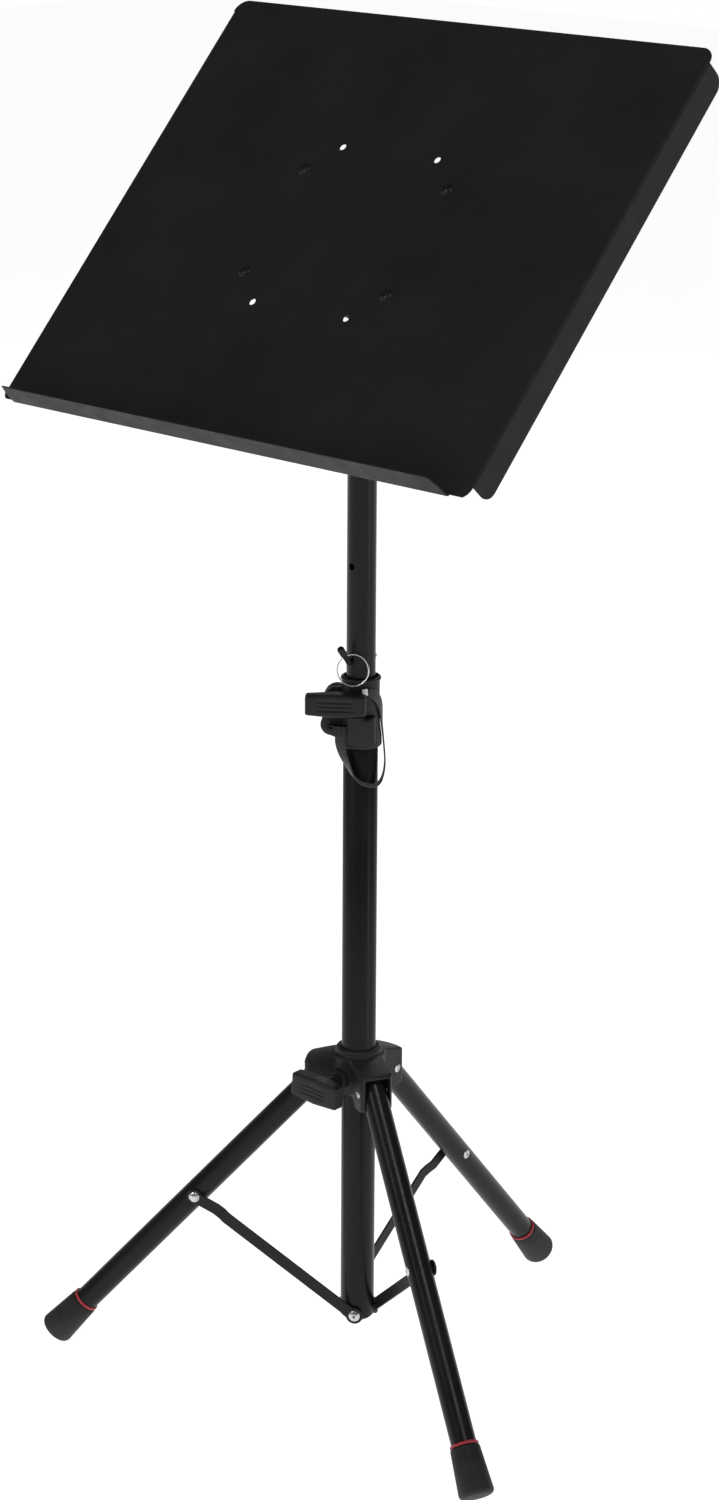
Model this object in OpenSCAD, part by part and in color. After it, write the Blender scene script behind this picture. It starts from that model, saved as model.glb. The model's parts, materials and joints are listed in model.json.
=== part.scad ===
// Tripod music stand: folding three-leg base, telescopic mast, tilting sheet-steel desk.
// Millimetres. +Z up, the reader stands on the -Y side, the floor is z = 0.

/* [Desk] */
// Width of the desk plate between its side bends
desk_w = 524; // [420:1:560]
// Height of the desk plate from its lip bend to its top edge
desk_h = 428; // [340:1:460]
// Slope of the desk above the horizontal
desk_slope = 47; // [35:1:60]
// Depth of the music ledge
lip_d = 25; // [18:1:40]
// Depth of the side flanges
flange_d = 25.5; // [16:0.5:36]
// Thickness of the sheet steel
sheet_t = 1.2; // [0.8:0.1:2]

/* [Mast] */
// Outer radius of the lower mast tube
mast_r = 15; // [14:0.5:17]
// Outer radius of the upper mast tube
upper_r = 12.5; // [12:0.5:12.5]
// Height of the desk's tilt pivot above the floor
tilt_z = 1008; // [900:1:1100]
// Height of the safety pin above the floor
pin_z = 662; // [660:1:680]

/* [Tripod] */
// Height of the leg pivots above the floor
yoke_z = 278; // [265:1:300]
// Distance of the leg pivots from the mast's axis
pivot_r = 37; // [36:0.5:42]
// Lean of the open legs from the vertical
lean = 42; // [36:1:44]
// Outer radius of the leg tubes
leg_r = 11; // [10:0.5:11]
// Turn of the tripod against the desk
leg_turn = 4; // [-10:1:10]
// Height of the brace pivots on the mast
hub_z = 53; // [50:1:60]
// Distance along a leg from its pivot to its brace rivet
brace_at = 163.4; // [150:0.1:180]

/* [Hidden] */
$fn = 64;

// The mast's axis, placed so that the object's box is centred on the origin
mast_x = -2.5;
mast_y = -51;

// Directions of the legs, counted anticlockwise from +X
left_a = 210 + leg_turn;
right_a = 330 + leg_turn;
back_a = 90 + leg_turn;
leg_angles = [left_a, right_a, back_a];

// Tubes
mast_wall = 1.5;
upper_wall = 1.2;
leg_wall = 1;
mast_low = 49.5;
mast_top = 622;
upper_low = 280;
upper_top = 985;
fit = 0.08;
gap = 0.4;

// Safety pin and its row of holes
hole_r = 3;
hole_pitch = 83;
holes_below = 4;
holes_above = 3;
pin_r = 2.4;
pin_bend_y = -15.5;
pin_rise = 53;
pin_arm = 16;
ring_r = 13.4;
ring_wire_r = 0.6;
ring_at = 7.5;
ring_turn = [-14, -31, 43];

// Clutch on top of the lower tube: the split ears face clutch_a - 90, the bolt points at clutch_a
clutch_a = 308;
clutch_z = 629;
collar_low = 586;
collar_top = 644;
bolt_y = -19;
bolt_r = 3;
ear_x = 8;
slot_w = 3;
block_x = 20.5;

// T-knobs
knob_len = 52;
knob_h = 19.2;
knob_d = 12.5;
clutch_knob_x = 22.5;
yoke_knob_x = 50;
tilt_knob_x = 24;

// Desk folds: inner radius of the bends, half lengths of the ledge and the flanges
bend_r = 1.2;
lip_half = desk_w / 2 - 18;
lip_slant = 5;
flange_half = desk_h / 2 - 12.5;
flange_corner = 11;

// Desk mounting: bolts on one rectangle, the same rectangle turned by 90 degrees left open
bolt_wide = 158;
bolt_high = 105;
desk_hole_r = 3.2;
pivot_back = 32;
plate_t = 3;
ear_in = 10.1;
ear_t = 3;
tongue = 9;
tilt_r = 4;
head_low = 956;
head_screw_z = 968;

// Yoke
yoke_top = 303;
yoke_low = 262;
yoke_reach = 47;
lobe_w = 29.2;
pocket_w = 22.8;
pocket_r = 22.4;
pocket_top = yoke_z + 14.6;
rivet_r = 3;
yoke_screw_z = 284;
yoke_screw_r = 3.5;

// Legs: local z runs up the leg from its pivot
leg_up = 9;
leg_plug_len = 26;
boot_len = 43;
boot_top_r = 12.6;
boot_r = 15.4;
boot_edge = 4;
sole_drop = 0.5;
boot_end = -(yoke_z - (boot_r - boot_edge) * sin(lean) - boot_edge + sole_drop) / cos(lean) - boot_edge;
band_h = 3;

// Braces: flat bars beside the legs, on the side that comes first anticlockwise
joint_r = pivot_r + brace_at * sin(lean);
joint_z = yoke_z - brace_at * cos(lean);
brace_len = norm([joint_r, joint_z - hub_z]);
brace_a = atan2(joint_z - hub_z, joint_r);
brace_w = 10.5;
brace_t = 2;
brace_eye = 7.6;
brace_bow = 4;
brace_bend = 0.84;
jog_at = 34;
jog_len = 12;
brace_pin_r = 2.5;

// Lanyard route: direction in degrees, distance from the mast's axis, height, and the way
// its width lies: compass direction and rise
strap_w = 8;
strap_t = 1.4;
strap_route = [
    [266, 24.6, 598, 38, 0], [266.5, 24.6, 592, 32, 0], [271, 23.2, 583, 14, 0],
    [281, 21.2, 573, -8, 0], [294, 20, 564, -28, 0], [311, 19.8, 558, -43, 0],
    [330, 19.8, 555, -47, 0], [351, 20, 554, -47, 0], [371, 20.4, 557, -47, 0],
    [386, 21, 564, -47, 0], [397, 21, 573, -47, 0], [402, 20.2, 583, -47, 0],
    [403, 19.2, 594, -47, 0], [399, 18, 606, -52, -8], [390, 17.8, 617, -62, -30],
    [373, 17.8, 627, -78, -52], [350, 18.2, 634.5, -97, -66], [328, 18.9, 638, -120, -74]
];

// ---- shared pieces ----

module at_mast() translate([mast_x, mast_y, 0]) children();

// a ring or tube standing on z = low
module pipe(r_out, r_in, low, high) {
    translate([0, 0, low]) difference() {
        cylinder(r = r_out, h = high - low);
        translate([0, 0, -1]) cylinder(r = r_in, h = high - low + 2);
    }
}

// a cylinder along +X from x = a to x = b
module bar_x(r, a, b) {
    translate([a, 0, 0]) rotate([0, 90, 0]) cylinder(r = r, h = b - a);
}

// a cylinder along +Y from y = a to y = b
module bar_y(r, a, b) {
    translate([0, b, 0]) rotate([90, 0, 0]) cylinder(r = r, h = b - a);
}

// points of an arc about c, from angle a to angle b
function arc(c, r, a, b, n = 8) =
    [for (i = [0 : n]) c + r * [cos(a + (b - a) * i / n), sin(a + (b - a) * i / n)]];

// a low dome of radius r and height h standing on z = 0
module dome(r, h) {
    sphere_r = (r * r + h * h) / (2 * h);
    intersection() {
        translate([0, 0, h - sphere_r]) sphere(r = sphere_r);
        cylinder(r = r + 1, h = h + 1);
    }
}

// a rectangle with rounded corners, centred
module round_rect(w, h, r) {
    hull() for (sx = [-1, 1], sy = [-1, 1])
        translate([sx * (w / 2 - r), sy * (h / 2 - r)]) circle(r = r, $fn = 32);
}

// a T-knob whose screw axis is +X: the bar lies along Y, its back face is at x = 0
module t_knob(len, h, d, skirt, skirt_r) {
    edge = 2;
    hull() {
        for (sy = [-1, 1], sz = [-1, 1], x = [edge, d - edge - 1.5])
            translate([x + 0.75, sy * (len / 2 - edge), sz * (h / 2 - edge - 0.6)])
                sphere(r = edge, $fn = 16);
        translate([edge / 2, 0, 0]) rotate([0, 90, 0])
            cylinder(r = h / 2 + 0.8, h = d - edge, $fn = 32);
        rotate([0, 90, 0]) cylinder(r = h / 2 - 1.5, h = d, $fn = 32);
    }
    translate([-skirt, 0, 0]) rotate([0, 90, 0])
        cylinder(r1 = skirt_r - 1, r2 = skirt_r, h = skirt + 0.5);
}

// a hexagon nut or head along X from x = a to x = b
module hex_x(r, a, b) {
    translate([a, 0, 0]) rotate([0, 90, 0]) cylinder(r = r, h = b - a, $fn = 6);
}

// ---- mast ----

module mast_tube() {
    color("#1b1b1c") at_mast() difference() {
        pipe(mast_r, mast_r - mast_wall, mast_low, mast_top);
        for (a = leg_angles) rotate([0, 0, a + 90]) translate([0, 0, hub_z])
            bar_x(brace_pin_r + 0.05, mast_r - 4, mast_r + 2);
    }
}

module mast_end_cap() {
    color("#161617") at_mast() difference() {
        union() {
            translate([0, 0, mast_low - 4.1]) rotate_extrude() polygon(concat(
                [[0, 0]], arc([mast_r - 7, 7], 7, -90, -35), [[mast_r, 4.1], [0, 4.1]]));
            translate([0, 0, mast_low - 1]) cylinder(r = mast_r - mast_wall - 0.05, h = 27);
        }
        for (a = leg_angles) rotate([0, 0, a + 90]) translate([0, 0, hub_z])
            bar_x(brace_pin_r + 0.05, 8.5, mast_r + 2);
    }
}

module hub_rivets() {
    color("#c9cacb") at_mast() for (a = leg_angles) rotate([0, 0, a + 90])
        translate([0, 0, hub_z]) difference() {
            union() {
                bar_x(brace_pin_r, 8.6, mast_r + gap + brace_t + 0.4);
                translate([mast_r + gap + brace_t + 0.2, 0, 0]) rotate([0, 90, 0]) dome(5.2, 2);
            }
            bar_x(1.1, mast_r, mast_r + 6);
        }
}

module clutch_frame() at_mast() rotate([0, 0, clutch_a]) children();

module collar_profile() {
    polygon([[mast_r + 0.02, collar_low + 1], [mast_r + 0.8, collar_low],
        [mast_r + 2.5, collar_low], [mast_r + 3.2, collar_low + 1.5], [mast_r + 3, collar_low + 8],
        [mast_r + 1.6, collar_low + 19], [mast_r + 1.2, collar_low + 32],
        [mast_r + 1.2, collar_top], [14.2, collar_top], [14.2, mast_top + 0.1],
        [mast_r + 0.02, mast_top + 0.1]]);
}

module clutch_collar() {
    color("#1d1d1e") clutch_frame() difference() {
        union() {
            rotate_extrude() collar_profile();
            // front block
            difference() {
                hull() for (sy = [-7, 11], sz = [593, 613])
                    translate([10, sy, sz]) rotate([0, 90, 0]) cylinder(r = 2.5, h = 10.5, $fn = 32);
                cylinder(r = mast_r + 1, h = 900);
            }
            // ears beside the bolt, with the lanyard lobe below
            difference() {
                union() {
                    translate([0, bolt_y - 1, clutch_z - 2.6]) bar_x(12.2, -ear_x, ear_x);
                    translate([0, -24.5, 604.8]) bar_x(9.5, -ear_x, ear_x);
                    translate([-ear_x, -24.5, 604]) cube([2 * ear_x, 16, 26]);
                }
                cylinder(r = mast_r + 1, h = 900);
            }
        }
        // split through one side
        translate([-slot_w / 2, -45, collar_low + 8]) cube([slot_w, 45, 80]);
        translate([0, bolt_y, clutch_z]) {
            bar_x(bolt_r + 0.1, -ear_x - 1, ear_x + 1);
            // spot faces for the bolt's head and washer
            for (x = [-ear_x - 3, ear_x]) bar_x(6.2, x, x + 3);
        }
        translate([0, 7, 612]) bar_x(2.05, mast_r + 0.5, block_x + 1);
        translate([0, -24.5, 604]) bar_x(1.55, 2, ear_x + 1);
    }
}

module clutch_bush() {
    color("#131314") at_mast() difference() {
        rotate_extrude() polygon(concat(
            [[upper_r + fit, 596], [13.4, 596], [13.4, mast_top], [14.1, mast_top + 0.2],
             [14.1, collar_top], [mast_r + 1.4, collar_top]],
            arc([mast_r + 0.5, 645.6], 1.9, -60, 110),
            [[upper_r + 2.4, 646.4], [upper_r + fit, 644]]));
        // slit that lets the bush close on the upper tube
        rotate([0, 0, clutch_a - 90]) translate([10, -0.6, 590]) cube([10, 1.2, 50]);
    }
}

module clutch_bolt() {
    color("#b5b6b8") clutch_frame() translate([0, bolt_y, clutch_z]) {
        bar_x(bolt_r, -ear_x, clutch_knob_x + 4);
        hex_x(5.8, -ear_x - 4, -ear_x);
    }
}

module clutch_washer() {
    color("#d0d0d0") clutch_frame() translate([0, bolt_y, clutch_z]) difference() {
        bar_x(6, ear_x + 0.05, ear_x + 1.5);
        bar_x(bolt_r + 0.1, ear_x - 1, ear_x + 3);
    }
}

module collar_screw() {
    color("#2a2a2b") clutch_frame() translate([0, 7, 612]) {
        bar_x(2, mast_r + 1.5, block_x + 0.1);
        translate([block_x, 0, 0]) rotate([0, 90, 0]) dome(3.8, 1.6);
    }
}

module clutch_knob() {
    color("#1a1a1b") clutch_frame() translate([clutch_knob_x, bolt_y, clutch_z]) difference() {
        t_knob(knob_len, knob_h, knob_d, clutch_knob_x - ear_x - 2.6, 6.8);
        bar_x(4.6, -30, 5.2);
    }
}

module knob_insert(x, depth) {
    difference() {
        bar_x(4.55, x - depth, x + 5);
        bar_x(bolt_r + 0.06, x - depth - 1, x + 4.2);
    }
}

module clutch_knob_insert() {
    color("#c6a34a") clutch_frame() translate([0, bolt_y, clutch_z])
        knob_insert(clutch_knob_x, clutch_knob_x - ear_x - 2.2);
}

// ---- lanyard of the safety pin ----

module lanyard_stud() {
    color("#b5b6b8") clutch_frame() translate([0, -24.5, 604]) {
        bar_x(1.5, 3, 20.4);
        translate([20.4, 0, 0]) rotate([0, 90, 0]) dome(3, 1.2);
    }
}

module lanyard_head() {
    color("#1c1c1d") at_mast() rotate([0, 0, clutch_a]) difference() {
        union() {
            hull() {
                translate([16.4, -24.5, 604]) rotate([0, 90, 0]) cylinder(r = 4.4, h = 3.8, $fn = 32);
                translate([16.4, -21.5, 598]) cube([3.8, 10, 9]);
            }
            for (y = [-20.9 : 2.2 : -12]) translate([16, y, 598]) cube([4.8, 1.2, 9.5]);
        }
        translate([0, -24.5, 604]) bar_x(1.6, 15, 22);
    }
}

function strap_point(p) = [p[1] * cos(p[0]), p[1] * sin(p[0]), p[2]];
function strap_wide(p) = [cos(p[3]) * cos(p[4]), sin(p[3]) * cos(p[4]), sin(p[4])];
function unit(v) = v / norm(v);
strap_last = len(strap_route) - 1;
function spline(p0, p1, p2, p3, t) = 0.5 * (2 * p1 + (p2 - p0) * t
    + (2 * p0 - 5 * p1 + 4 * p2 - p3) * t * t + (3 * p1 - p0 - 3 * p2 + p3) * t * t * t);
function strap_at(i, t) = spline(strap_route[max(i - 1, 0)], strap_route[i],
    strap_route[i + 1], strap_route[min(i + 2, strap_last)], t);
strap_steps = 3;
strap_line = concat([for (i = [0 : strap_last - 1], k = [0 : strap_steps - 1])
    strap_at(i, k / strap_steps)], [strap_route[strap_last]]);
strap_rings = len(strap_line);
// an eight-sided flat section, across the strap (c) and through it (s)
strap_section = [[-1, -0.5], [-0.8, -1], [0.8, -1], [1, -0.5], [1, 0.5], [0.8, 1], [-0.8, 1], [-1, 0.5]];
function strap_ring(i) = let (
    here = strap_line[i],
    low = strap_point(strap_line[max(i - 1, 0)]),
    high = strap_point(strap_line[min(i + 1, strap_rings - 1)]),
    along = unit(high - low),
    across = unit(strap_wide(here) - along * (along * strap_wide(here))),
    thick = cross(across, along))
    [for (s = strap_section) strap_point(here) + across * s[0] * strap_w / 2 + thick * s[1] * strap_t / 2];

module lanyard() {
    sides = len(strap_section);
    points = [for (i = [0 : strap_rings - 1]) each strap_ring(i)];
    walls = [for (i = [0 : strap_rings - 2], k = [0 : sides - 1])
        let (a = i * sides + k, b = i * sides + (k + 1) % sides) [a, b, b + sides, a + sides]];
    low = [[for (k = [sides - 1 : -1 : 0]) k]];
    high = [[for (k = [0 : sides - 1]) (strap_rings - 1) * sides + k]];
    color("#1f1f20") at_mast() polyhedron(points = points, faces = concat(low, walls, high));
}

module lanyard_clip() {
    color("#b0b1b3") at_mast() rotate([0, 0, 328]) translate([18.9, 0, 638])
        rotate([6, 0, 0]) difference() {
            translate([-1.4, -4.2, -3]) cube([2.8, 4.8, 6]);
            translate([-0.75, -1.8, -4.5]) cube([1.5, 5, 9]);
        }
}

// ---- upper tube ----

module guide_bush() {
    color("#d8d8d4") at_mast() difference() {
        pipe(mast_r - mast_wall - fit, upper_r + 0.05, upper_low + 2, upper_low + 42);
        rotate([0, 0, 45]) translate([10, -1, upper_low + 10]) cube([8, 2, 40]);
    }
}

module upper_tube() {
    color("#1b1b1c") at_mast() difference() {
        union() {
            pipe(upper_r, upper_r - upper_wall, upper_low, upper_top);
            pipe(upper_r + 0.8, upper_r - upper_wall, upper_low, upper_low + 1.8);
        }
        for (i = [-holes_below : holes_above])
            translate([0, 0, pin_z + i * hole_pitch]) bar_y(hole_r, -20, 20);
    }
}

module tilt_head() {
    color("#1a1a1b") at_mast() difference() {
        union() {
            translate([0, 0, head_low]) rotate_extrude() polygon([[0, 0], [15, 0], [16, 1],
                [16, 30], [14, 33.5], [0, 33.5]]);
            translate([0, 0, tilt_z]) bar_x(13, -tongue, tongue);
            translate([-tongue, -13, 985]) cube([2 * tongue, 26, tilt_z - 985]);
        }
        translate([0, 0, head_low - 1]) cylinder(r = upper_r + 0.02, h = upper_top - head_low + 1);
        translate([0, 0, tilt_z]) bar_x(tilt_r + 0.06, -20, 20);
        translate([0, 0, head_screw_z]) bar_y(2.05, 10, 20);
    }
}

module head_screw() {
    color("#8f9092") at_mast() translate([0, 0, head_screw_z]) {
        bar_y(2, upper_r + 0.1, 16.2);
        translate([0, 16, 0]) rotate([-90, 0, 0]) dome(3.6, 1.8);
    }
}

// ---- desk: local x across, y up the desk, z out of its face; the origin is mid-plate ----

module desk_frame() at_mast() translate([0, 0, tilt_z]) rotate([desk_slope, 0, 0])
    translate([0, 0, pivot_back]) children();

// a folded edge swept along X from -half to half: a quarter bend and a flap.
// The plate ends at y = 0, the bend bulges to -y and the flap rises to z = depth
module fold(half, depth) {
    rotate([90, 0, 90]) translate([0, 0, -half]) linear_extrude(2 * half) polygon(concat(
        [[0, -sheet_t], [0, 0]],
        arc([0, bend_r], bend_r, -90, -180, 6),
        [[-bend_r, depth], [-bend_r - sheet_t, depth]],
        arc([0, bend_r], bend_r + sheet_t, 180, 270, 6)));
}

// an outline drawn in the flap's own plane, thick enough to cut the whole fold
module flap_cut() rotate([90, 0, 0]) translate([0, 0, -10]) linear_extrude(20) children();

// the ledge: its ends slant inwards from the bend to the free edge
module lip() {
    translate([0, -desk_h / 2 + bend_r + sheet_t, 0]) intersection() {
        fold(lip_half, lip_d);
        flap_cut() polygon([[-lip_half, -5], [lip_half, -5], [lip_half, 3], [lip_half - 0.8, lip_d / 2],
            [lip_half - lip_slant, lip_d], [-lip_half + lip_slant, lip_d],
            [-lip_half + 0.8, lip_d / 2], [-lip_half, 3]]);
    }
}

// a side flange, turned away from the reader, with its two free corners round
module flange() {
    depth = flange_d - sheet_t;
    translate([desk_w / 2 - bend_r - sheet_t, 0, 0]) rotate([0, 180, 90])
        translate([0, 0, sheet_t]) intersection() {
            fold(flange_half, depth);
            flap_cut() hull() {
                translate([-flange_half, -5]) square([2 * flange_half, 2]);
                for (s = [-1, 1]) translate([s * (flange_half - flange_corner), depth - flange_corner])
                    circle(r = flange_corner, $fn = 32);
            }
        }
}

module bolt_spots(w, h) {
    for (sx = [-1, 1], sy = [-1, 1]) translate([sx * w / 2, sy * h / 2, 0]) children();
}

module desk_plate() {
    color("#1e1e1f") desk_frame() {
        difference() {
            translate([0, 0, -sheet_t]) linear_extrude(sheet_t) difference() {
                round_rect(desk_w, desk_h, 12);
                // the bends start inside the outline
                for (s = [-1, 1]) translate([s * (desk_w / 2 + 50 - bend_r - sheet_t), 0])
                    square([100, 2 * flange_half], center = true);
                translate([0, -desk_h / 2 - 50 + bend_r + sheet_t])
                    square([desk_w, 100], center = true);
            }
            for (wh = [[bolt_wide, bolt_high], [bolt_high, bolt_wide]]) bolt_spots(wh[0], wh[1])
                translate([0, 0, -sheet_t - 1]) cylinder(r = desk_hole_r, h = sheet_t + 2);
        }
        lip();
    }
}

// the pressed sheet's two side flanges, parted from its face where each bend begins
module desk_flanges() {
    color("#1e1e1f") desk_frame() {
        flange();
        mirror([1, 0, 0]) flange();
    }
}

module mount_plate() {
    color("#202021") desk_frame() difference() {
        translate([0, 0, -sheet_t - plate_t]) linear_extrude(plate_t) round_rect(184, 131, 8);
        bolt_spots(bolt_wide, bolt_high) translate([0, 0, -sheet_t - plate_t - 1])
            cylinder(r = desk_hole_r, h = plate_t + 2);
    }
}

module hinge_bracket() {
    base = -sheet_t - plate_t;
    color("#202021") desk_frame() difference() {
        union() {
            translate([-ear_in - ear_t, -22, base - ear_t]) cube([2 * (ear_in + ear_t), 44, ear_t]);
            for (s = [-1, 1]) translate([s * (ear_in + ear_t / 2), 0, 0]) {
                translate([-ear_t / 2, -14, -pivot_back]) cube([ear_t, 28, pivot_back + base]);
                translate([0, 0, -pivot_back]) bar_x(14, -ear_t / 2, ear_t / 2);
            }
        }
        translate([0, 0, -pivot_back]) bar_x(tilt_r + 0.06, -30, 30);
    }
}

module desk_screws() {
    color("#111112") desk_frame() bolt_spots(bolt_wide, bolt_high) difference() {
        union() {
            translate([0, 0, -10]) cylinder(r = 2.9, h = 10.2);
            dome(5.8, 2.6);
        }
        translate([0, 0, 1.4]) cylinder(r = 1.9, h = 3, $fn = 6);
    }
}

module desk_nuts() {
    color("#b5b6b8") desk_frame() bolt_spots(bolt_wide, bolt_high)
        translate([0, 0, -sheet_t - plate_t - 5]) difference() {
            cylinder(r = 5.8, h = 5, $fn = 6);
            translate([0, 0, -1]) cylinder(r = 2.95, h = 7);
        }
}

module tilt_bolt() {
    outer = ear_in + ear_t;
    color("#b5b6b8") desk_frame() translate([0, 0, -pivot_back]) {
        bar_x(tilt_r, -outer - 0.5, tilt_knob_x + 4);
        hex_x(7.4, -outer - 5.5, -outer);
    }
}

module tilt_washers() {
    color("#e0e0dc") desk_frame() translate([0, 0, -pivot_back]) for (s = [-1, 1])
        translate([s * (tongue + 0.55), 0, 0]) difference() {
            bar_x(11, -0.5, 0.5);
            bar_x(tilt_r + 0.1, -2, 2);
        }
}

module tilt_knob() {
    outer = ear_in + ear_t;
    color("#1a1a1b") desk_frame() translate([tilt_knob_x, 0, -pivot_back]) difference() {
        t_knob(knob_len - 3, knob_h, knob_d, tilt_knob_x - outer - 0.4, 8);
        bar_x(5.6, -30, 5.2);
    }
}

module tilt_knob_insert() {
    outer = ear_in + ear_t;
    color("#c6a34a") desk_frame() translate([0, 0, -pivot_back]) difference() {
        bar_x(5.55, outer + 0.8, tilt_knob_x + 5);
        bar_x(tilt_r + 0.06, outer, tilt_knob_x + 4.2);
    }
}

// ---- safety pin ----

module pin_arm_frame() at_mast() translate([0, pin_bend_y, pin_z]) rotate([90 - pin_rise, 0, 0]) children();

// the ring hangs in the hole of the arm: local x runs along the hole, local z up the ring
module ring_frame() at_mast()
    translate([0, pin_bend_y - ring_at * cos(pin_rise), pin_z + ring_at * sin(pin_rise)])
        rotate(ring_turn) children();

module safety_pin() {
    color("#bdbec0") difference() {
        union() {
            at_mast() translate([0, 0, pin_z]) bar_y(pin_r, pin_bend_y, 17);
            at_mast() translate([0, pin_bend_y, pin_z]) sphere(r = pin_r + 0.2);
            pin_arm_frame() cylinder(r = pin_r, h = pin_arm - 1);
        }
        ring_frame() bar_x(1.1, -6, 6);
    }
}

module pin_grip() {
    color("#151516") pin_arm_frame() difference() {
        translate([0, 0, 9.4]) rotate_extrude() polygon(concat([[0, 0], [3.1, 0]],
            arc([1.5, 7.4], 1.6, 0, 90), [[0, 9]]));
        translate([0, 0, 8]) cylinder(r = pin_r + 0.02, h = pin_arm - 9);
    }
}

module pin_ring() {
    color("#d6d7d9") ring_frame() translate([0, 0, -ring_r]) rotate([90, 0, 0])
        rotate_extrude() translate([ring_r, 0]) circle(r = ring_wire_r, $fn = 16);
}

// ---- yoke ----

module yoke_frame() at_mast() rotate([0, 0, leg_turn + 90]) children();

module yoke_plan() {
    fillet = 9;
    corner = 5;
    offset(r = corner) offset(r = -corner) offset(r = -fillet) offset(r = fillet) union() {
        circle(r = 23);
        for (i = [0 : 2]) rotate(i * 120) translate([0, -lobe_w / 2]) square([yoke_reach, lobe_w]);
    }
}

module yoke_side() {
    polygon(concat([[0, yoke_low + 7], [27, yoke_low + 7], [32, yoke_low], [42, yoke_low]],
        arc([42, yoke_low + 6], 6, -90, 0, 4),
        arc([43, 291], 5.5, 0, 70, 6),
        [[30, yoke_top - 2.5], [21, yoke_top], [0, yoke_top]]));
}

module yoke() {
    color("#1c1c1d") yoke_frame() difference() {
        union() {
            intersection() {
                translate([0, 0, yoke_low - 1]) linear_extrude(60) yoke_plan();
                rotate_extrude() yoke_side();
            }
            rotate_extrude() polygon(concat([[15, yoke_top - 2], [21.4, yoke_top - 2]],
                arc([17.4, yoke_top + 3.2], 2.6, -20, 110, 6), [[15, yoke_top + 5.6]]));
            rotate([0, 0, 180]) translate([0, 0, yoke_screw_z]) bar_x(9, 16, 31);
        }
        translate([0, 0, 200]) cylinder(r = mast_r + 1.2, h = 200);
        for (i = [0 : 2]) rotate([0, 0, i * 120]) {
            translate([pocket_r, -pocket_w / 2, 200]) cube([60, pocket_w, pocket_top - 200]);
            translate([pivot_r, 0, yoke_z]) bar_y(rivet_r + 0.03, -20, 20);
        }
        rotate([0, 0, 180]) translate([0, 0, yoke_screw_z]) {
            bar_x(yoke_screw_r + 0.1, 10, 40);
            bar_x(6.05, 15, 25.6);
        }
    }
}

module yoke_liner() {
    color("#121213") yoke_frame() difference() {
        pipe(mast_r + 1.15, mast_r + fit, yoke_low + 7, yoke_top + 6);
        rotate([0, 0, 180]) translate([0, 0, yoke_screw_z]) bar_x(6.1, 5, 30);
    }
}

module leg_pivots() {
    color("#c9cacb") yoke_frame() for (i = [0 : 2]) rotate([0, 0, i * 120])
        translate([pivot_r, 0, yoke_z]) {
            bar_y(rivet_r, -lobe_w / 2 - 0.2, lobe_w / 2 + 0.2);
            for (s = [-1, 1]) translate([0, s * (lobe_w / 2 + 0.02), 0]) rotate([-90 * s, 0, 0])
                difference() {
                    dome(3.9, 1.3);
                    translate([0, 0, 0.6]) cylinder(r = 1.5, h = 2);
                }
        }
}

module yoke_nut() {
    color("#c6a34a") yoke_frame() rotate([0, 0, 180]) translate([0, 0, yoke_screw_z]) difference() {
        bar_x(6, 19.2, 25.5);
        bar_x(yoke_screw_r + 0.06, 15, 30);
    }
}

module yoke_pad() {
    color("#d8d8d4") yoke_frame() rotate([0, 0, 180]) translate([0, 0, yoke_screw_z]) difference() {
        bar_x(5.9, 14, 18.8);
        translate([0, 0, -20]) cylinder(r = mast_r + 0.3, h = 40);
    }
}

module yoke_knob() {
    color("#1a1a1b") yoke_frame() rotate([0, 0, 180]) translate([yoke_knob_x, 0, yoke_screw_z])
        difference() {
            rotate([-4, 0, 0]) t_knob(50, 22, 14, yoke_knob_x - 33, 8);
            bar_x(yoke_screw_r + 0.02, -30, 8);
        }
}

module yoke_screw() {
    color("#b5b6b8") yoke_frame() rotate([0, 0, 180]) translate([0, 0, yoke_screw_z])
        bar_x(yoke_screw_r, 18.9, yoke_knob_x + 7.9);
}

// ---- legs ----

// local z runs up the leg, local y anticlockwise, the origin is the leg's pivot
module leg_frame(a) at_mast() rotate([0, 0, a]) translate([pivot_r, 0, yoke_z])
    rotate([0, -lean, 0]) children();

module leg_tube(a) {
    color("#19191b") leg_frame(a) difference() {
        pipe(leg_r, leg_r - leg_wall, boot_end + 10.2, leg_up);
        bar_y(rivet_r + 0.06, -20, 20);
        translate([0, 0, -brace_at]) bar_y(2.6, -20, 0);
    }
}

module leg_plug(a) {
    color("#121213") leg_frame(a) difference() {
        translate([0, 0, leg_up - leg_plug_len])
            cylinder(r = leg_r - leg_wall - 0.03, h = leg_plug_len - 0.4);
        bar_y(rivet_r + 0.06, -20, 20);
    }
}

module boot_profile() {
    polygon(concat([[0, -0.6], [6, -0.4]], arc([boot_r - boot_edge, boot_edge], boot_edge, -84, -4),
        [[boot_top_r + 0.4, boot_len - 2], [boot_top_r - 0.2, boot_len],
         [leg_r + 0.05, boot_len], [leg_r + 0.05, 10], [0, 10]]));
}

module boot(a) {
    color("#171718") difference() {
        leg_frame(a) translate([0, 0, boot_end]) rotate_extrude() boot_profile();
        // the sole worn flat where it meets the floor
        translate([-500, -500, -50]) cube([1000, 1000, 50]);
    }
}

module boot_band(a) {
    color("#a3222c") leg_frame(a) translate([0, 0, boot_end + boot_len + 0.05])
        rotate_extrude() polygon(concat([[leg_r + 0.05, 0]],
            arc([leg_r + 0.2, band_h / 2], band_h / 2, -80, 80, 8), [[leg_r + 0.05, band_h]]));
}

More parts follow.
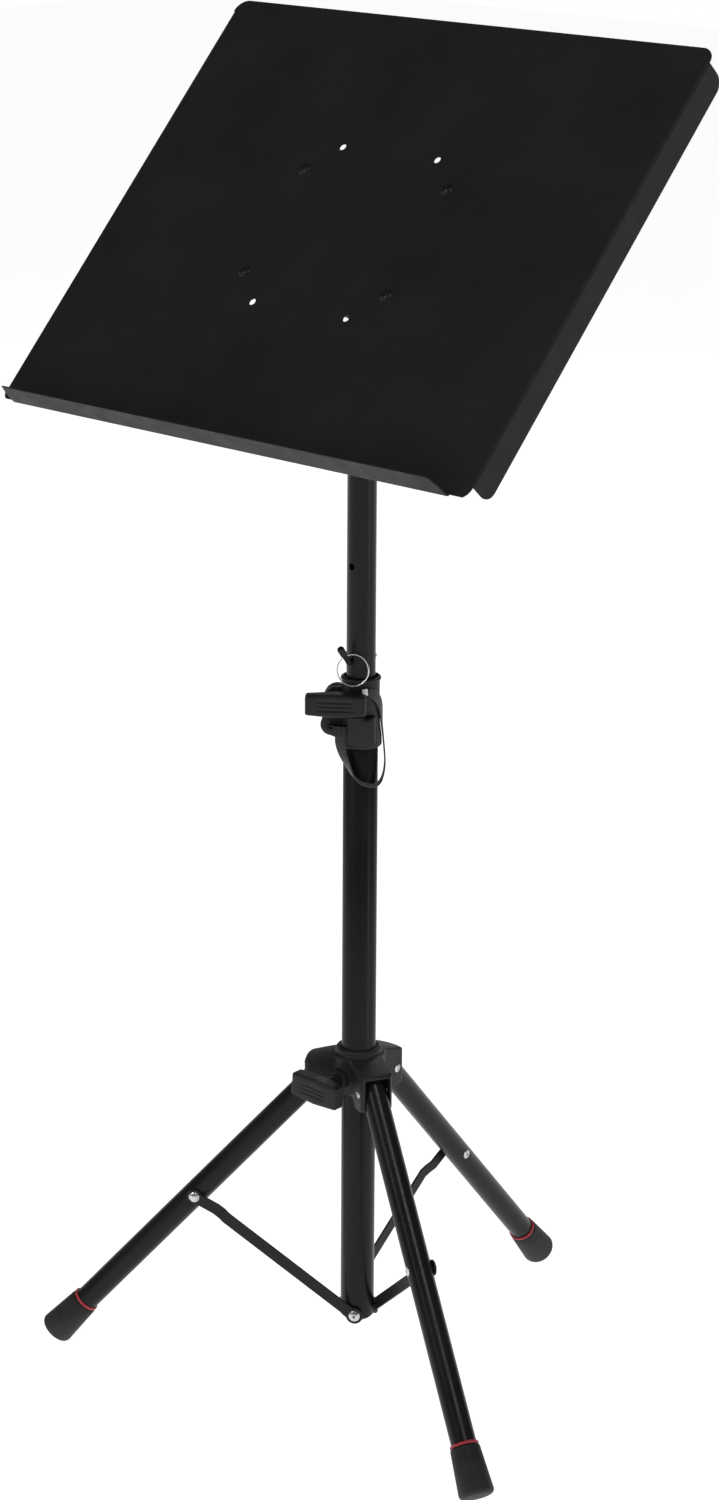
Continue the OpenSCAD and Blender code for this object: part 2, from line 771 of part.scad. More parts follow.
// the far end of a brace rivet: its head is hollowed to sit on the round tube
module rivet_end(a) {
    color("#c9cacb") leg_frame(a) translate([0, 0, -brace_at]) difference() {
        union() {
            bar_y(2.5, -leg_r - 0.2, -leg_r + 3);
            difference() {
                union() {
                    bar_y(4, -leg_r - 0.1, -leg_r + 1.5);
                    translate([0, -leg_r - 0.1, 0]) rotate([90, 0, 0]) dome(4, 1);
                }
                translate([0, 0, -10]) cylinder(r = leg_r + 0.03, h = 20);
            }
        }
        bar_y(1.2, -leg_r - 3, -leg_r + 0.6);
    }
}

// ---- braces: local x runs from the mast to the leg, local z up across the bar ----

module brace_frame(a) at_mast() rotate([0, 0, a]) translate([0, 0, hub_z])
    rotate([0, -brace_a, 0]) children();

// the bar seen from its side, with a shallow bend before the leg
module brace_outline() {
    bend_x = brace_len * brace_bend;
    difference() {
        union() {
            circle(r = brace_eye);
            translate([brace_len, 0]) circle(r = brace_eye - 0.6);
            hull() {
                circle(r = brace_w / 2, $fn = 32);
                translate([bend_x, brace_bow]) circle(r = brace_w / 2, $fn = 32);
            }
            hull() {
                translate([brace_len, 0]) circle(r = brace_w / 2, $fn = 32);
                translate([bend_x, brace_bow]) circle(r = brace_w / 2, $fn = 32);
            }
        }
    }
}

// the bar seen from above: flat against the mast, then stepped in to the leg
module brace_path() {
    mast_side = mast_r + gap;
    leg_side = leg_r + gap;
    step_x = brace_len - jog_at;
    polygon([[-20, mast_side], [step_x, mast_side], [step_x + jog_len, leg_side],
        [brace_len + 20, leg_side], [brace_len + 20, leg_side + brace_t],
        [step_x + jog_len, leg_side + brace_t], [step_x, mast_side + brace_t],
        [-20, mast_side + brace_t]]);
}

module brace(a) {
    color("#1a1a1b") brace_frame(a) difference() {
        intersection() {
            translate([0, 40, 0]) rotate([90, 0, 0]) linear_extrude(60) brace_outline();
            translate([0, 0, -40]) linear_extrude(80) brace_path();
        }
        bar_y(brace_pin_r + 0.06, 0, 40);
        translate([brace_len, 0, 0]) bar_y(brace_pin_r + 0.05, 0, 40);
    }
}

module brace_rivet(a) {
    face = leg_r + gap + brace_t;
    color("#c9cacb") brace_frame(a) translate([brace_len, 0, 0]) {
        bar_y(brace_pin_r, leg_r + gap + 0.1, face + 0.3);
        translate([0, face + 0.02, 0]) rotate([-90, 0, 0]) dome(5, 2.2);
    }
}

mast_tube();
mast_end_cap();
clutch_collar();
clutch_bush();
clutch_bolt();
clutch_washer();
collar_screw();
hub_rivets();
lanyard_stud();
lanyard_head();
lanyard();
lanyard_clip();
clutch_knob();
clutch_knob_insert();
guide_bush();
upper_tube();
tilt_head();
head_screw();
desk_plate();
desk_flanges();
mount_plate();
hinge_bracket();
desk_screws();
desk_nuts();
tilt_bolt();
tilt_washers();
tilt_knob();
tilt_knob_insert();
safety_pin();
pin_grip();
pin_ring();
yoke();
yoke_liner();
leg_pivots();
yoke_nut();
yoke_pad();
yoke_knob();
yoke_screw();
leg_tube(left_a);  // leg_tube_left
leg_tube(right_a);  // leg_tube_right
leg_tube(back_a);  // leg_tube_back
leg_plug(left_a);  // leg_plug_left
leg_plug(right_a);  // leg_plug_right
leg_plug(back_a);  // leg_plug_back
boot(left_a);  // boot_left
boot(right_a);  // boot_right
boot(back_a);  // boot_back
boot_band(left_a);  // boot_band_left
boot_band(right_a);  // boot_band_right
boot_band(back_a);  // boot_band_back
rivet_end(left_a);  // rivet_end_left
rivet_end(right_a);  // rivet_end_right
rivet_end(back_a);  // rivet_end_back
brace(left_a);  // brace_left
brace(right_a);  // brace_right
brace(back_a);  // brace_back
brace_rivet(left_a);  // brace_rivet_left
brace_rivet(right_a);  // brace_rivet_right
brace_rivet(back_a);  // brace_rivet_back
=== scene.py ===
"""Looks of the music stand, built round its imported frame. Metres, +Z up, the reader on the -Y side."""
import json
import math

import bmesh
import bpy
from mathutils import Matrix, Vector


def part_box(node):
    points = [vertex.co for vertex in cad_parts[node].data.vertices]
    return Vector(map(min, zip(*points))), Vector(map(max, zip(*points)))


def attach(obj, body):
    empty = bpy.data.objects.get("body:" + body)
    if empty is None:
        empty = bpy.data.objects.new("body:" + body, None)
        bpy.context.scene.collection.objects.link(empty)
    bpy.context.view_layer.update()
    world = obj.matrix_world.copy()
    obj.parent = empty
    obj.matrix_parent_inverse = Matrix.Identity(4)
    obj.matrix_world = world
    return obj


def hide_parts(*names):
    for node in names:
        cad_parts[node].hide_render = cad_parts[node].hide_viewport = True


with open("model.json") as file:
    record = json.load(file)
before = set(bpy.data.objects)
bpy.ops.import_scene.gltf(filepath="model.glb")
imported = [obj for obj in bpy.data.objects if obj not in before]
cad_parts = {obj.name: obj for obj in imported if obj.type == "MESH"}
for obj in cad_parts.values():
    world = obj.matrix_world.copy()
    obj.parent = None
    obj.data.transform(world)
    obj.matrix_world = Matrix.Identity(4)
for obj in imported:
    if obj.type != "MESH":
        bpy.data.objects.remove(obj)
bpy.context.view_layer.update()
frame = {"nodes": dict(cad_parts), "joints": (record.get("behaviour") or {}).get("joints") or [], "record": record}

NODES = frame["nodes"]
RECORD = frame["record"]
BODY_OF = {node: body for body, nodes in RECORD["behaviour"]["bodies"].items() for node in nodes}
SLOT_OF = {row["node"]: row["material_slot"] for row in RECORD["subparts"]}
LOOK = {row["slot"]: row for row in RECORD["materials"]}
SIDES = ("left", "right", "back")
MM = 0.001


def centre(node):
    """The middle of a CAD node's box."""
    low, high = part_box(node)
    return (Vector(low) + Vector(high)) / 2


MAST = Vector((centre("mast_tube").x, centre("mast_tube").y, 0))

# ---- camera -----------------------------------------------------------------

CAMERA_AT = MAST + Vector((1.9984, -2.1643, 1.5100))
CAMERA_HEADING = math.radians(42.735)
CAMERA_PITCH = math.radians(17.513)
CAMERA_ROLL = math.radians(0.348)
SENSOR_MM = 36
LENS_MM = 86.41
CLIP_M = (0.05, 60)


def make_camera():
    data = bpy.data.cameras.new("camera")
    data.sensor_fit = "VERTICAL"
    data.sensor_width = data.sensor_height = SENSOR_MM
    data.lens = LENS_MM
    data.clip_start, data.clip_end = CLIP_M
    camera = bpy.data.objects.new("camera", data)
    bpy.context.scene.collection.objects.link(camera)
    turn = Matrix.Rotation(CAMERA_HEADING, 4, "Z") @ Matrix.Rotation(math.pi / 2 - CAMERA_PITCH, 4, "X")
    camera.matrix_world = Matrix.Translation(CAMERA_AT) @ turn @ Matrix.Rotation(CAMERA_ROLL, 4, "Z")
    bpy.context.scene.camera = camera


make_camera()

# ---- the safety pin's lanyard -----------------------------------------------

# direction in degrees, distance from the mast's axis and height in millimetres, then the
# direction and the rise in degrees in which the strap's width points
STRAP_ROUTE = (
    (266, 24.6, 598, 38, 0), (266.5, 24.6, 592, 32, 0), (271, 23.2, 583, 14, 0),
    (281, 21.2, 573, -8, 0), (294, 20, 564, -28, 0), (311, 19.8, 558, -43, 0),
    (330, 19.8, 555, -47, 0), (351, 20, 554, -47, 0), (371, 20.4, 557, -47, 0),
    (386, 21, 564, -47, 0), (397, 21, 573, -47, 0), (402, 20.2, 583, -47, 0),
    (403, 19.2, 594, -47, 0), (399, 18, 606, -52, -8), (390, 17.8, 617, -62, -30),
    (373, 17.8, 627, -78, -52), (350, 18.2, 634.5, -97, -66), (328, 18.9, 638, -120, -74),
)
STRAP_STEPS = 5
STRAP_WIDTH = 8 * MM
STRAP_THICK = 1.4 * MM
STRAP_EDGE = 0.5 * MM
STRAP_CORNER = (0, 30, 60, 90)
# how much narrower the strap's end is in the clip, and over how many of its last rings it narrows
PINCH_PART = 0.35
PINCH_RINGS = 6


def spline(p0, p1, p2, p3, t):
    """A point between p1 and p2 on the smooth line through all four."""
    return 0.5 * (2 * p1 + (p2 - p0) * t + (2 * p0 - 5 * p1 + 4 * p2 - p3) * t ** 2
                  + (3 * p1 - p0 - 3 * p2 + p3) * t ** 3)


def strap_line():
    """The route's rows with smooth steps between them."""
    route = [Vector(p) for p in STRAP_ROUTE]
    last = len(route) - 1
    line = []
    for i in range(last):
        four = route[max(i - 1, 0)], route[i], route[i + 1], route[min(i + 2, last)]
        line += [spline(*four, k / STRAP_STEPS) for k in range(STRAP_STEPS)]
    return line + [route[last]]


def strap_section():
    """Places round a flat bar with rounded edges, across it and through it."""
    wide, thick = STRAP_WIDTH / 2 - STRAP_EDGE, STRAP_THICK / 2 - STRAP_EDGE
    section = []
    for turn, sx, sy in ((0, 1, 1), (90, -1, 1), (180, -1, -1), (270, 1, -1)):
        for part in STRAP_CORNER:
            angle = math.radians(turn + part)
            section.append((sx * wide + STRAP_EDGE * math.cos(angle),
                            sy * thick + STRAP_EDGE * math.sin(angle)))
    return section


def pointing(turn, rise=0):
    """A unit vector in a compass direction and at a rise, both in degrees."""
    turn, rise = math.radians(turn), math.radians(rise)
    return Vector((math.cos(turn) * math.cos(rise), math.sin(turn) * math.cos(rise), math.sin(rise)))


def make_strap():
    line = strap_line()
    path = [MAST + (pointing(p[0]) * p[1] + Vector((0, 0, p[2]))) * MM for p in line]
    section = strap_section()
    bm = bmesh.new()
    weave = bm.loops.layers.uv.new("weave")
    rings, run = [], 0.0
    for i, (here, row) in enumerate(zip(path, line)):
        along = (path[min(i + 1, len(path) - 1)] - path[max(i - 1, 0)]).normalized()
        wide = pointing(row[3], row[4])
        across = (wide - along * along.dot(wide)).normalized()
        through = across.cross(along)
        run += (here - path[max(i - 1, 0)]).length
        into_clip = max(0, (i - len(path) + 1 + PINCH_RINGS) / PINCH_RINGS)
        pinch = 1 - PINCH_PART * into_clip ** 2
        rings.append([(bm.verts.new(here + across * c * pinch + through * s), run, c) for c, s in section])
    count = len(section)
    for low, high in zip(rings, rings[1:]):
        for k in range(count):
            four = low[k], low[(k + 1) % count], high[(k + 1) % count], high[k]
            face = bm.faces.new([corner[0] for corner in four])
            for loop, corner in zip(face.loops, four):
                loop[weave].uv = corner[1:]
    for ring in (rings[0], rings[-1]):
        bm.faces.new([corner[0] for corner in ring])
    bmesh.ops.recalc_face_normals(bm, faces=bm.faces)
    mesh = bpy.data.meshes.new("lanyard_strap")
    bm.to_mesh(mesh)
    bm.free()
    mesh.shade_smooth()
    mesh.set_sharp_from_angle(angle=math.radians(50))
    strap = bpy.data.objects.new("lanyard_strap", mesh)
    bpy.context.scene.collection.objects.link(strap)
    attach(strap, BODY_OF["lanyard"])
    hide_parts("lanyard")
    return strap


strap = make_strap()

# ---- materials --------------------------------------------------------------


class Paint:
    """A material's node tree, with short calls for the nodes that the finishes share."""

    def __init__(self, name):
        self.material = bpy.data.materials.new(name)
        self.material.use_nodes = True
        self.tree = self.material.node_tree
        self.shader = self.tree.nodes["Principled BSDF"]
        self.place = self.tree.nodes.new("ShaderNodeTexCoord").outputs["Object"]

    def set(self, **sockets):
        for name, value in sockets.items():
            self.shader.inputs[name.replace("_", " ")].default_value = value

    def link(self, output, socket):
        self.tree.links.new(output, socket)

    def noise(self, scale, detail=4, stretch=(1, 1, 1), rough=0.55, place=None):
        """Noise with features about 1/scale metres wide, stretched along the axes."""
        mapping = self.tree.nodes.new("ShaderNodeMapping")
        mapping.inputs["Scale"].default_value = stretch
        self.link(place or self.place, mapping.inputs["Vector"])
        node = self.tree.nodes.new("ShaderNodeTexNoise")
        node.inputs["Scale"].default_value = scale
        node.inputs["Detail"].default_value = detail
        node.inputs["Roughness"].default_value = rough
        self.link(mapping.outputs["Vector"], node.inputs["Vector"])
        return node.outputs["Fac"]

    def ramp(self, factor, low, high, start=0.35, end=0.65):
        """The factor stretched from start..end to low..high."""
        node = self.tree.nodes.new("ShaderNodeMapRange")
        for socket, value in (("From Min", start), ("From Max", end), ("To Min", low), ("To Max", high)):
            node.inputs[socket].default_value = value
        self.link(factor, node.inputs["Value"])
        return node.outputs["Result"]

    def maths(self, how, a, b):
        """One sum of two values, each a number or an output."""
        node = self.tree.nodes.new("ShaderNodeMath")
        node.operation = how
        for socket, value in zip(node.inputs, (a, b)):
            if isinstance(value, (int, float)):
                socket.default_value = value
            else:
                self.link(value, socket)
        return node.outputs["Value"]

    def blend(self, factor, a, b):
        """Colour a where the factor is 0, b where it is 1."""
        node = self.tree.nodes.new("ShaderNodeMix")
        node.data_type = "RGBA"
        self.link(factor, node.inputs["Factor"])
        for socket, value in zip((i for i in node.inputs if i.type == "RGBA"), (a, b)):
            if isinstance(value, tuple):
                socket.default_value = (*value, 1)
            else:
                self.link(value, socket)
        return next(o for o in node.outputs if o.type == "RGBA")

    def bump(self, height, depth, strength=1.0):
        """A bump of that height in metres over the bumps already there."""
        node = self.tree.nodes.new("ShaderNodeBump")
        node.inputs["Strength"].default_value = strength
        node.inputs["Distance"].default_value = depth
        self.link(height, node.inputs["Height"])
        if self.shader.inputs["Normal"].is_linked:
            self.link(self.shader.inputs["Normal"].links[0].from_socket, node.inputs["Normal"])
        self.link(node.outputs["Normal"], self.shader.inputs["Normal"])

    def axis(self, name):
        """One of the point's coordinates, X, Y or Z, in metres."""
        node = self.tree.nodes.new("ShaderNodeSeparateXYZ")
        self.link(self.place, node.inputs["Vector"])
        return node.outputs[name]


def shade(color, by):
    """The colour made that many times as bright."""
    return tuple(c * by for c in color[:3])


def coat(name, rough, peel, dust=1.5, gloss=0.2, streak=(1, 1, 1), depth=1.0):
    """Powder coat: orange peel, faint dust and handling marks."""
    p = Paint(name)
    color = shade(LOOK[name]["base_color"], depth)
    cloud = p.noise(9, 5)
    specks = p.noise(1400, 2)
    marks = p.noise(60, 6, streak, 0.7)
    tone = p.blend(p.ramp(cloud, 0, 1), shade(color, 0.86), shade(color, 1.14))
    tone = p.blend(p.ramp(specks, 0, 0.35, 0.62, 0.75), tone, shade(color, dust * 2))
    p.link(p.blend(p.ramp(marks, 0, 0.3, 0.6, 0.8), tone, shade(color, dust)), p.shader.inputs["Base Color"])
    grain = p.maths("ADD", p.ramp(marks, -0.05, 0.06, 0.4, 0.7), p.ramp(cloud, rough - 0.04, rough + 0.04))
    p.link(grain, p.shader.inputs["Roughness"])
    p.set(Specular_IOR_Level=gloss)
    p.bump(p.noise(700, 2), peel)
    p.bump(p.noise(2600, 2), peel * 0.25)
    return p.material


def moulded(name, rough, grain, gloss=0.22):
    """Moulded plastic or rubber: spark-eroded grain, lighter scuffed patches."""
    p = Paint(name)
    color = LOOK[name]["base_color"]
    cloud = p.noise(30, 5)
    scuff = p.noise(160, 8, rough=0.72)
    tone = p.blend(p.ramp(cloud, 0, 1), shade(color, 0.85), shade(color, 1.2))
    p.link(p.blend(p.ramp(scuff, 0, 0.5, 0.62, 0.78), tone, shade(color, 2.4)), p.shader.inputs["Base Color"])
    p.link(p.maths("ADD", p.ramp(scuff, -0.06, 0.08), p.ramp(cloud, rough - 0.03, rough + 0.05)),
           p.shader.inputs["Roughness"])
    p.set(Specular_IOR_Level=gloss)
    p.bump(p.noise(1900, 3), grain)
    p.bump(p.noise(350, 3), grain * 1.5)
    return p.material


def metal(name, rough, along=(1, 1, 1), tarnish=0.6):
    """Plated steel or brass: fine tool marks, darker in patches."""
    p = Paint(name)
    color = LOOK[name]["base_color"]
    lines = p.noise(1500, 3, along)
    cloud = p.noise(220, 4)
    p.link(p.blend(p.ramp(cloud, 0, 1, 0.45, 0.8), tuple(color[:3]), shade(color, tarnish)),
           p.shader.inputs["Base Color"])
    p.link(p.maths("ADD", p.ramp(lines, -0.06, 0.1), p.ramp(cloud, rough, rough + 0.1)),
           p.shader.inputs["Roughness"])
    p.set(Metallic=1.0)
    p.bump(lines, 0.00001)
    return p.material


def worn_rubber(name):
    """Boots: dull moulded rubber, dusty and scuffed towards the sole."""
    p = Paint(name)
    color = LOOK[name]["base_color"]
    scuff = p.noise(220, 8, rough=0.75)
    low = p.ramp(p.axis("Z"), 1, 0, 0.0, 0.03)
    dust = p.maths("MULTIPLY", low, p.ramp(scuff, 0.1, 0.9))
    tone = p.blend(p.ramp(p.noise(40, 4), 0, 1), shade(color, 0.8), shade(color, 1.25))
    p.link(p.blend(dust, tone, (0.075, 0.072, 0.068)), p.shader.inputs["Base Color"])
    p.link(p.ramp(scuff, 0.5, 0.72), p.shader.inputs["Roughness"])
    p.set(Specular_IOR_Level=0.2)
    p.bump(p.noise(900, 3), 0.00005)
    p.bump(scuff, 0.00006)
    return p.material


def woven(name):
    """The strap: flat nylon weave, told from the strap's own lengthways and crossways places."""
    p = Paint(name)
    color = LOOK[name]["base_color"]
    uv = p.tree.nodes.new("ShaderNodeTexCoord").outputs["UV"]
    mapping = p.tree.nodes.new("ShaderNodeMapping")
    mapping.inputs["Rotation"].default_value = (0, 0, math.radians(45))
    p.link(uv, mapping.inputs["Vector"])
    weave = p.tree.nodes.new("ShaderNodeTexChecker")
    weave.inputs["Scale"].default_value = 1700
    p.link(mapping.outputs["Vector"], weave.inputs["Vector"])
    fuzz = p.noise(2500, 3)
    p.link(p.blend(p.maths("MULTIPLY", weave.outputs["Fac"], p.ramp(fuzz, 0.4, 1)), shade(color, 0.7),
                   shade(color, 1.7)), p.shader.inputs["Base Color"])
    p.link(p.ramp(fuzz, 0.62, 0.8), p.shader.inputs["Roughness"])
    p.set(Sheen_Weight=0.3)
    p.bump(weave.outputs["Fac"], 0.00008)
    p.bump(fuzz, 0.00006)
    return p.material


MATERIALS = {
    "desk_black": coat("desk_black", 0.52, 0.00003, gloss=0.14, depth=0.85),
    "tube_black": coat("tube_black", 0.3, 0.00002, gloss=0.16, streak=(6, 6, 0.3), depth=0.85),
    "bar_black": coat("bar_black", 0.42, 0.00003),
    "screw_black": coat("screw_black", 0.4, 0.00001),
    "moulded_black": moulded("moulded_black", 0.46, 0.00003),
    "knob_black": moulded("knob_black", 0.42, 0.00003),
    "liner_white": moulded("liner_white", 0.5, 0.00002, 0.5),
    "band_red": moulded("band_red", 0.38, 0.00002, 0.5),
    "grip_black": moulded("grip_black", 0.45, 0.00003),
    "rubber_black": worn_rubber("rubber_black"),
    "strap_black": woven("strap_black"),
    "rivet_steel": metal("rivet_steel", 0.26),
    "bolt_steel": metal("bolt_steel", 0.34),
    "ring_steel": metal("ring_steel", 0.16, tarnish=0.8),
    "brass": metal("brass", 0.32),
}

for node, slot in SLOT_OF.items():
    slots = NODES[node].data.materials
    slots.clear()
    slots.append(MATERIALS[slot])
strap.data.materials.append(MATERIALS["strap_black"])

# ---- pieces -----------------------------------------------------------------


def add_piece(name, mesh, node, smooth_angle=35):
    """An object that stands for a CAD node: it rides on the node's body and takes its slot's material."""
    mesh.materials.clear()
    mesh.materials.append(MATERIALS[SLOT_OF[node]])
    piece = bpy.data.objects.new(name, mesh)
    bpy.context.scene.collection.objects.link(piece)
    if smooth_angle:
        mesh.shade_smooth()
        mesh.set_sharp_from_angle(angle=math.radians(smooth_angle))
    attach(piece, BODY_OF[node])
    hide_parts(node)
    return piece


def baked(piece):
    """The piece's mesh with its modifiers applied."""
    bpy.context.view_layer.update()
    mesh = bpy.data.meshes.new_from_object(piece.evaluated_get(bpy.context.evaluated_depsgraph_get()))
    bpy.data.objects.remove(piece)
    return mesh


def copied(*nodes, seam=None):
    """A loose copy of the CAD nodes' meshes in one, welded, and opened where they meet at the seam."""
    bm = bmesh.new()
    for node in nodes:
        bm.from_mesh(NODES[node].data)
    bmesh.ops.remove_doubles(bm, verts=bm.verts, dist=2e-6)
    if seam:
        inner = [f for f in bm.faces if all(abs(abs(v.co.x - MAST.x) - seam) < 0.01 * MM for v in f.verts)]
        bmesh.ops.delete(bm, geom=inner, context="FACES")
    mesh = bpy.data.meshes.new(nodes[0] + "_copy")
    bm.to_mesh(mesh)
    bm.free()
    piece = bpy.data.objects.new(nodes[0] + "_copy", mesh)
    bpy.context.scene.collection.objects.link(piece)
    return piece


def softened(node, voxel=0.5 * MM, rounds=6, keep=0.35, carve=None):
    """A moulded piece: the CAD shape with every edge and corner rounded as a mould leaves them."""
    piece = copied(node)
    remesh = piece.modifiers.new("remesh", "REMESH")
    remesh.mode = "VOXEL"
    remesh.voxel_size = voxel
    soft = piece.modifiers.new("soft", "SMOOTH")
    soft.factor, soft.iterations = 0.5, rounds
    mesh = baked(piece)
    if carve:
        carve(mesh)
    piece = bpy.data.objects.new(node + "_soft", mesh)
    bpy.context.scene.collection.objects.link(piece)
    fewer = piece.modifiers.new("fewer", "DECIMATE")
    fewer.ratio = keep
    return add_piece(node + "_moulding", baked(piece), node, 60)


def edged(node, width=0.3 * MM, joined=(), seam=None):
    """A metal piece: the CAD shape with its sharp edges broken by a small round."""
    piece = copied(node, *joined, seam=seam)
    flat = piece.modifiers.new("flat", "DECIMATE")
    flat.decimate_type = "DISSOLVE"
    flat.angle_limit = math.radians(1)
    edge = piece.modifiers.new("edge", "BEVEL")
    edge.limit_method = "ANGLE"
    edge.angle_limit = math.radians(40)
    edge.width, edge.segments = width, 2
    edge.use_clamp_overlap = True
    evened = piece.modifiers.new("evened", "WEIGHTED_NORMAL")
    evened.weight, evened.keep_sharp = 100, True
    piece.data.shade_smooth()
    piece = add_piece(node + "_edged", baked(piece), node, None)
    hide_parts(*joined)


def joint(name):
    """A joint's place and direction at rest."""
    row = next(j for j in frame["joints"] if j["name"] == name)
    return Vector(row["pos_m"]), Vector(row["axis"]).normalized()


# ---- T-knobs ----------------------------------------------------------------

# the three grooves of a knob's front face, which fade out towards their ends
GROOVE_DEEP = 0.7 * MM
GROOVE_WIDE = 1.5 * MM
GROOVE_STEP = 3.6 * MM
GROOVE_FADE = 5 * MM
FRONT_LAYER = 3 * MM


def grooves(knob_joint, deep, reach, bar_turn=0):
    """Carves the three grooves of a T-knob's front face, which is deep in front of the joint's place."""
    back, out = joint(knob_joint)
    along = Matrix.Rotation(math.radians(bar_turn), 3, out) @ Vector((0, 0, 1)).cross(out)
    up = out.cross(along)

    def carve(mesh):
        for vertex in mesh.vertices:
            p = vertex.co - back
            if p.dot(out) < deep - FRONT_LAYER:
                continue
            fade = min(1, max(0, (reach - abs(p.dot(along))) / GROOVE_FADE))
            height = p.dot(up)
            cut = max(max(0, 1 - ((height - step * GROOVE_STEP) / GROOVE_WIDE) ** 2) for step in (-1, 0, 1))
            vertex.co -= out * GROOVE_DEEP * cut * fade

    return carve


def make_knobs():
    softened("clutch_knob", carve=grooves("clutch_knob_turn", 12.5 * MM, 17 * MM))
    softened("tilt_knob", carve=grooves("tilt_knob_turn", 12.5 * MM, 16 * MM, 47))
    softened("yoke_knob", 0.6 * MM, carve=grooves("yoke_knob_turn", 14 * MM, 16 * MM, -4))


# ---- mast -------------------------------------------------------------------

TUBE_WALL = 1.5 * MM
# a flat's distance from the axis, and the heights above the tube's end up to which it is full and fades
FLAT_AT = 14.1 * MM
FLAT_FULL = 38 * MM
FLAT_END = 84 * MM
TUBE_SIDES = 144
TUBE_EDGE = 0.35 * MM
PRESSED_RINGS = 28


def tube_heights(low, high):
    """Rings close together along the pressed end, then just the two at the top."""
    pressed = [low + FLAT_END * i / PRESSED_RINGS for i in range(PRESSED_RINGS + 1)]
    return [low, low + 0.2 * MM] + pressed[1:] + [high - 0.3 * MM, high]


def mast_tube():
    """The lower tube, its end pressed flat behind each brace."""
    low, high = (corner.z for corner in map(Vector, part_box("mast_tube")))
    radius = (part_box("mast_tube")[1][0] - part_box("mast_tube")[0][0]) / 2
    flats = []
    for side in SIDES:
        place = joint("brace_" + side + "_hinge")[0] - MAST
        flats.append(math.atan2(place.y, place.x))

    def reach(angle, height):
        """How far out the tube's face is, in that direction at that height."""
        t = min(1, max(0, (height - low - FLAT_FULL) / (FLAT_END - FLAT_FULL)))
        flat = FLAT_AT + (radius - FLAT_AT) * t * t * (3 - 2 * t)
        cosine = max(math.cos(angle - f) for f in flats)
        edge = TUBE_EDGE if height < low + 0.1 * MM or height > high - 0.1 * MM else 0
        return min(radius, flat / cosine) - edge

    bm = bmesh.new()
    angles = [2 * math.pi * k / TUBE_SIDES for k in range(TUBE_SIDES)]

    def ring(height, inset):
        return [bm.verts.new(MAST + Vector((math.cos(a) * (reach(a, height) - inset),
                                            math.sin(a) * (reach(a, height) - inset), height)))
                for a in angles]

    heights = tube_heights(low, high)
    outer = [ring(h, 0) for h in heights]
    inner = [ring(h, TUBE_WALL) for h in reversed(heights)]
    loop = outer + inner
    for lower, upper in zip(loop, loop[1:] + loop[:1]):
        for k in range(TUBE_SIDES):
            n = (k + 1) % TUBE_SIDES
            bm.faces.new((lower[k], lower[n], upper[n], upper[k]))
    bmesh.ops.recalc_face_normals(bm, faces=bm.faces)
    mesh = bpy.data.meshes.new("mast_tube_pressed")
    bm.to_mesh(mesh)
    bm.free()
    add_piece("mast_tube_pressed", mesh, "mast_tube", 50)


# ---- the rest ---------------------------------------------------------------


def make_mouldings():
    for node in ("clutch_collar", "clutch_bush", "lanyard_head", "pin_grip"):
        softened(node, 0.4 * MM, 5)
    for node in ("tilt_head", "mast_end_cap"):
        softened(node, 0.6 * MM, 5)
    softened("yoke", 0.6 * MM, 9)
    for side in SIDES:
        softened("boot_" + side, 0.7 * MM, 5)
        softened("boot_band_" + side, 0.35 * MM, 3)


# how far to each side of the mast's axis the desk's bends begin
DESK_SEAM = 259.6 * MM


def make_metalwork():
    # the pressed desk's face and flanges are one sheet, with no line where the bends begin
    edged("desk_plate", 0.3 * MM, joined=("desk_flanges",), seam=DESK_SEAM)
    for node in ("mount_plate", "hinge_bracket"):
        edged(node, 0.3 * MM)
    for node in ("desk_screws", "hub_rivets", "leg_pivots", "desk_nuts", "tilt_bolt", "clutch_bolt",
                 "lanyard_clip", "clutch_washer"):
        edged(node, 0.25 * MM)
    for side in SIDES:
        edged("brace_" + side, 0.35 * MM)
        edged("brace_rivet_" + side, 0.25 * MM)
        edged("rivet_end_" + side, 0.2 * MM)


make_knobs()
mast_tube()
make_mouldings()
make_metalwork()

# ---- stage ------------------------------------------------------------------


FLOOR_HALF = 9
FLOOR_GREY = 0.5
FLOOR_GLOW = 0.92
SKY_NEAR, SKY_HIGH = 1.0, 0.07
SKY_FALLS_OVER = 0.16
AIM = Vector((0, 0, 0.6))
DESK_SIDE = Vector((0.25, -0.1, 1.0))
# name, place, what it faces, its two sides in metres, watts, and the way its second side runs
LIGHTS = (
    ("front_strip", AIM + Vector((-0.8, -3.0, 2.5)), AIM, (0.3, 1.4), 36, (0, 0, 1)),
    ("top_strip", DESK_SIDE + 3.7 * Vector((0.541, -0.230, 0.809)), DESK_SIDE, (0.3, 1.9), 38,
     (0.206, -0.267, -0.217)),
    ("side_strip", Vector((2.15, 0.5, 0.6)), AIM, (0.15, 1.2), 3.4, (0, 0, 1)),
    ("back", AIM + Vector((-1.6, 3.0, 2.2)), AIM, (1.6, 1.6), 22, (0, 0, 1)),
)


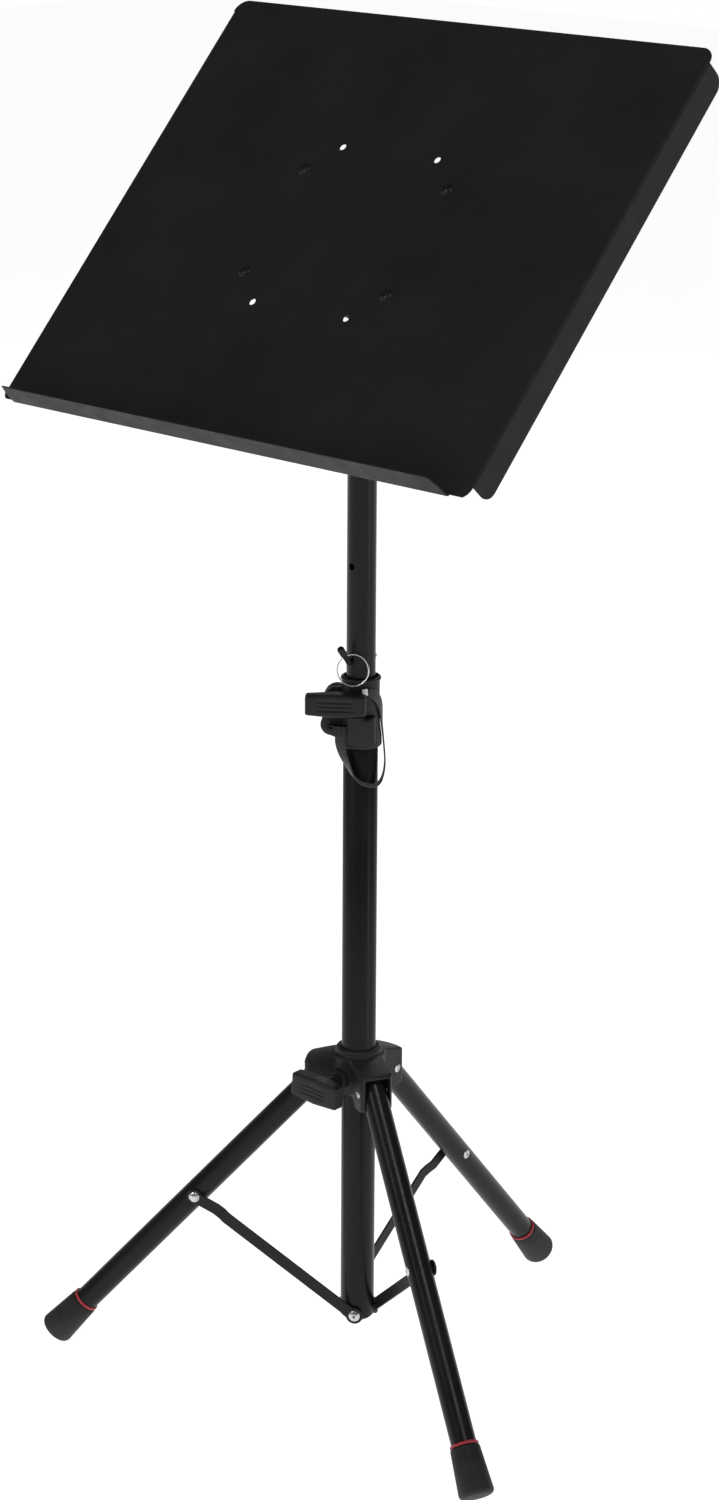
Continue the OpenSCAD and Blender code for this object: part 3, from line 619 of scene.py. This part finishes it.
def make_floor():
    """A floor so pale that the picture's background is white."""
    mesh = bpy.data.meshes.new("floor")
    corners = [(x * FLOOR_HALF, y * FLOOR_HALF, 0) for x, y in ((-1, -1), (1, -1), (1, 1), (-1, 1))]
    mesh.from_pydata(corners, [], [(0, 1, 2, 3)])
    floor = bpy.data.objects.new("floor", mesh)
    bpy.context.scene.collection.objects.link(floor)
    m = bpy.data.materials.new("floor")
    m.use_nodes = True
    b = m.node_tree.nodes["Principled BSDF"]
    b.inputs["Base Color"].default_value = (FLOOR_GREY, FLOOR_GREY, FLOOR_GREY, 1)
    b.inputs["Roughness"].default_value = 0.9
    b.inputs["Emission Color"].default_value = (1, 1, 1, 1)
    b.inputs["Emission Strength"].default_value = FLOOR_GLOW
    mesh.materials.append(m)


def area_light(name, at, aim, size, power, along):
    """A rectangular light that faces aim, with its second side running the way of along."""
    data = bpy.data.lights.new(name, "AREA")
    data.shape = "RECTANGLE"
    data.size, data.size_y = size
    data.energy = power
    light = bpy.data.objects.new(name, data)
    bpy.context.scene.collection.objects.link(light)
    back = (at - aim).normalized()
    across = Vector(along).cross(back).normalized()
    turn = Matrix((across, back.cross(across), back)).transposed().to_4x4()
    light.matrix_world = Matrix.Translation(at) @ turn


def make_world():
    """A pale ring round the horizon and a dim sky, so that the black paint stays black."""
    world = bpy.data.worlds.new("studio")
    world.use_nodes = True
    nodes, links = world.node_tree.nodes, world.node_tree.links
    place = nodes.new("ShaderNodeTexCoord")
    split = nodes.new("ShaderNodeSeparateXYZ")
    fall = nodes.new("ShaderNodeMapRange")
    for socket, value in (("From Min", 0), ("From Max", SKY_FALLS_OVER), ("To Min", SKY_NEAR),
                          ("To Max", SKY_HIGH)):
        fall.inputs[socket].default_value = value
    links.new(place.outputs["Generated"], split.inputs["Vector"])
    links.new(split.outputs["Z"], fall.inputs["Value"])
    links.new(fall.outputs["Result"], nodes["Background"].inputs["Strength"])
    nodes["Background"].inputs["Color"].default_value = (1, 1, 1, 1)
    bpy.context.scene.world = world


def make_studio():
    make_floor()
    make_world()
    for row in LIGHTS:
        area_light(*row)
    bpy.context.scene.view_settings.view_transform = "Standard"


make_studio()
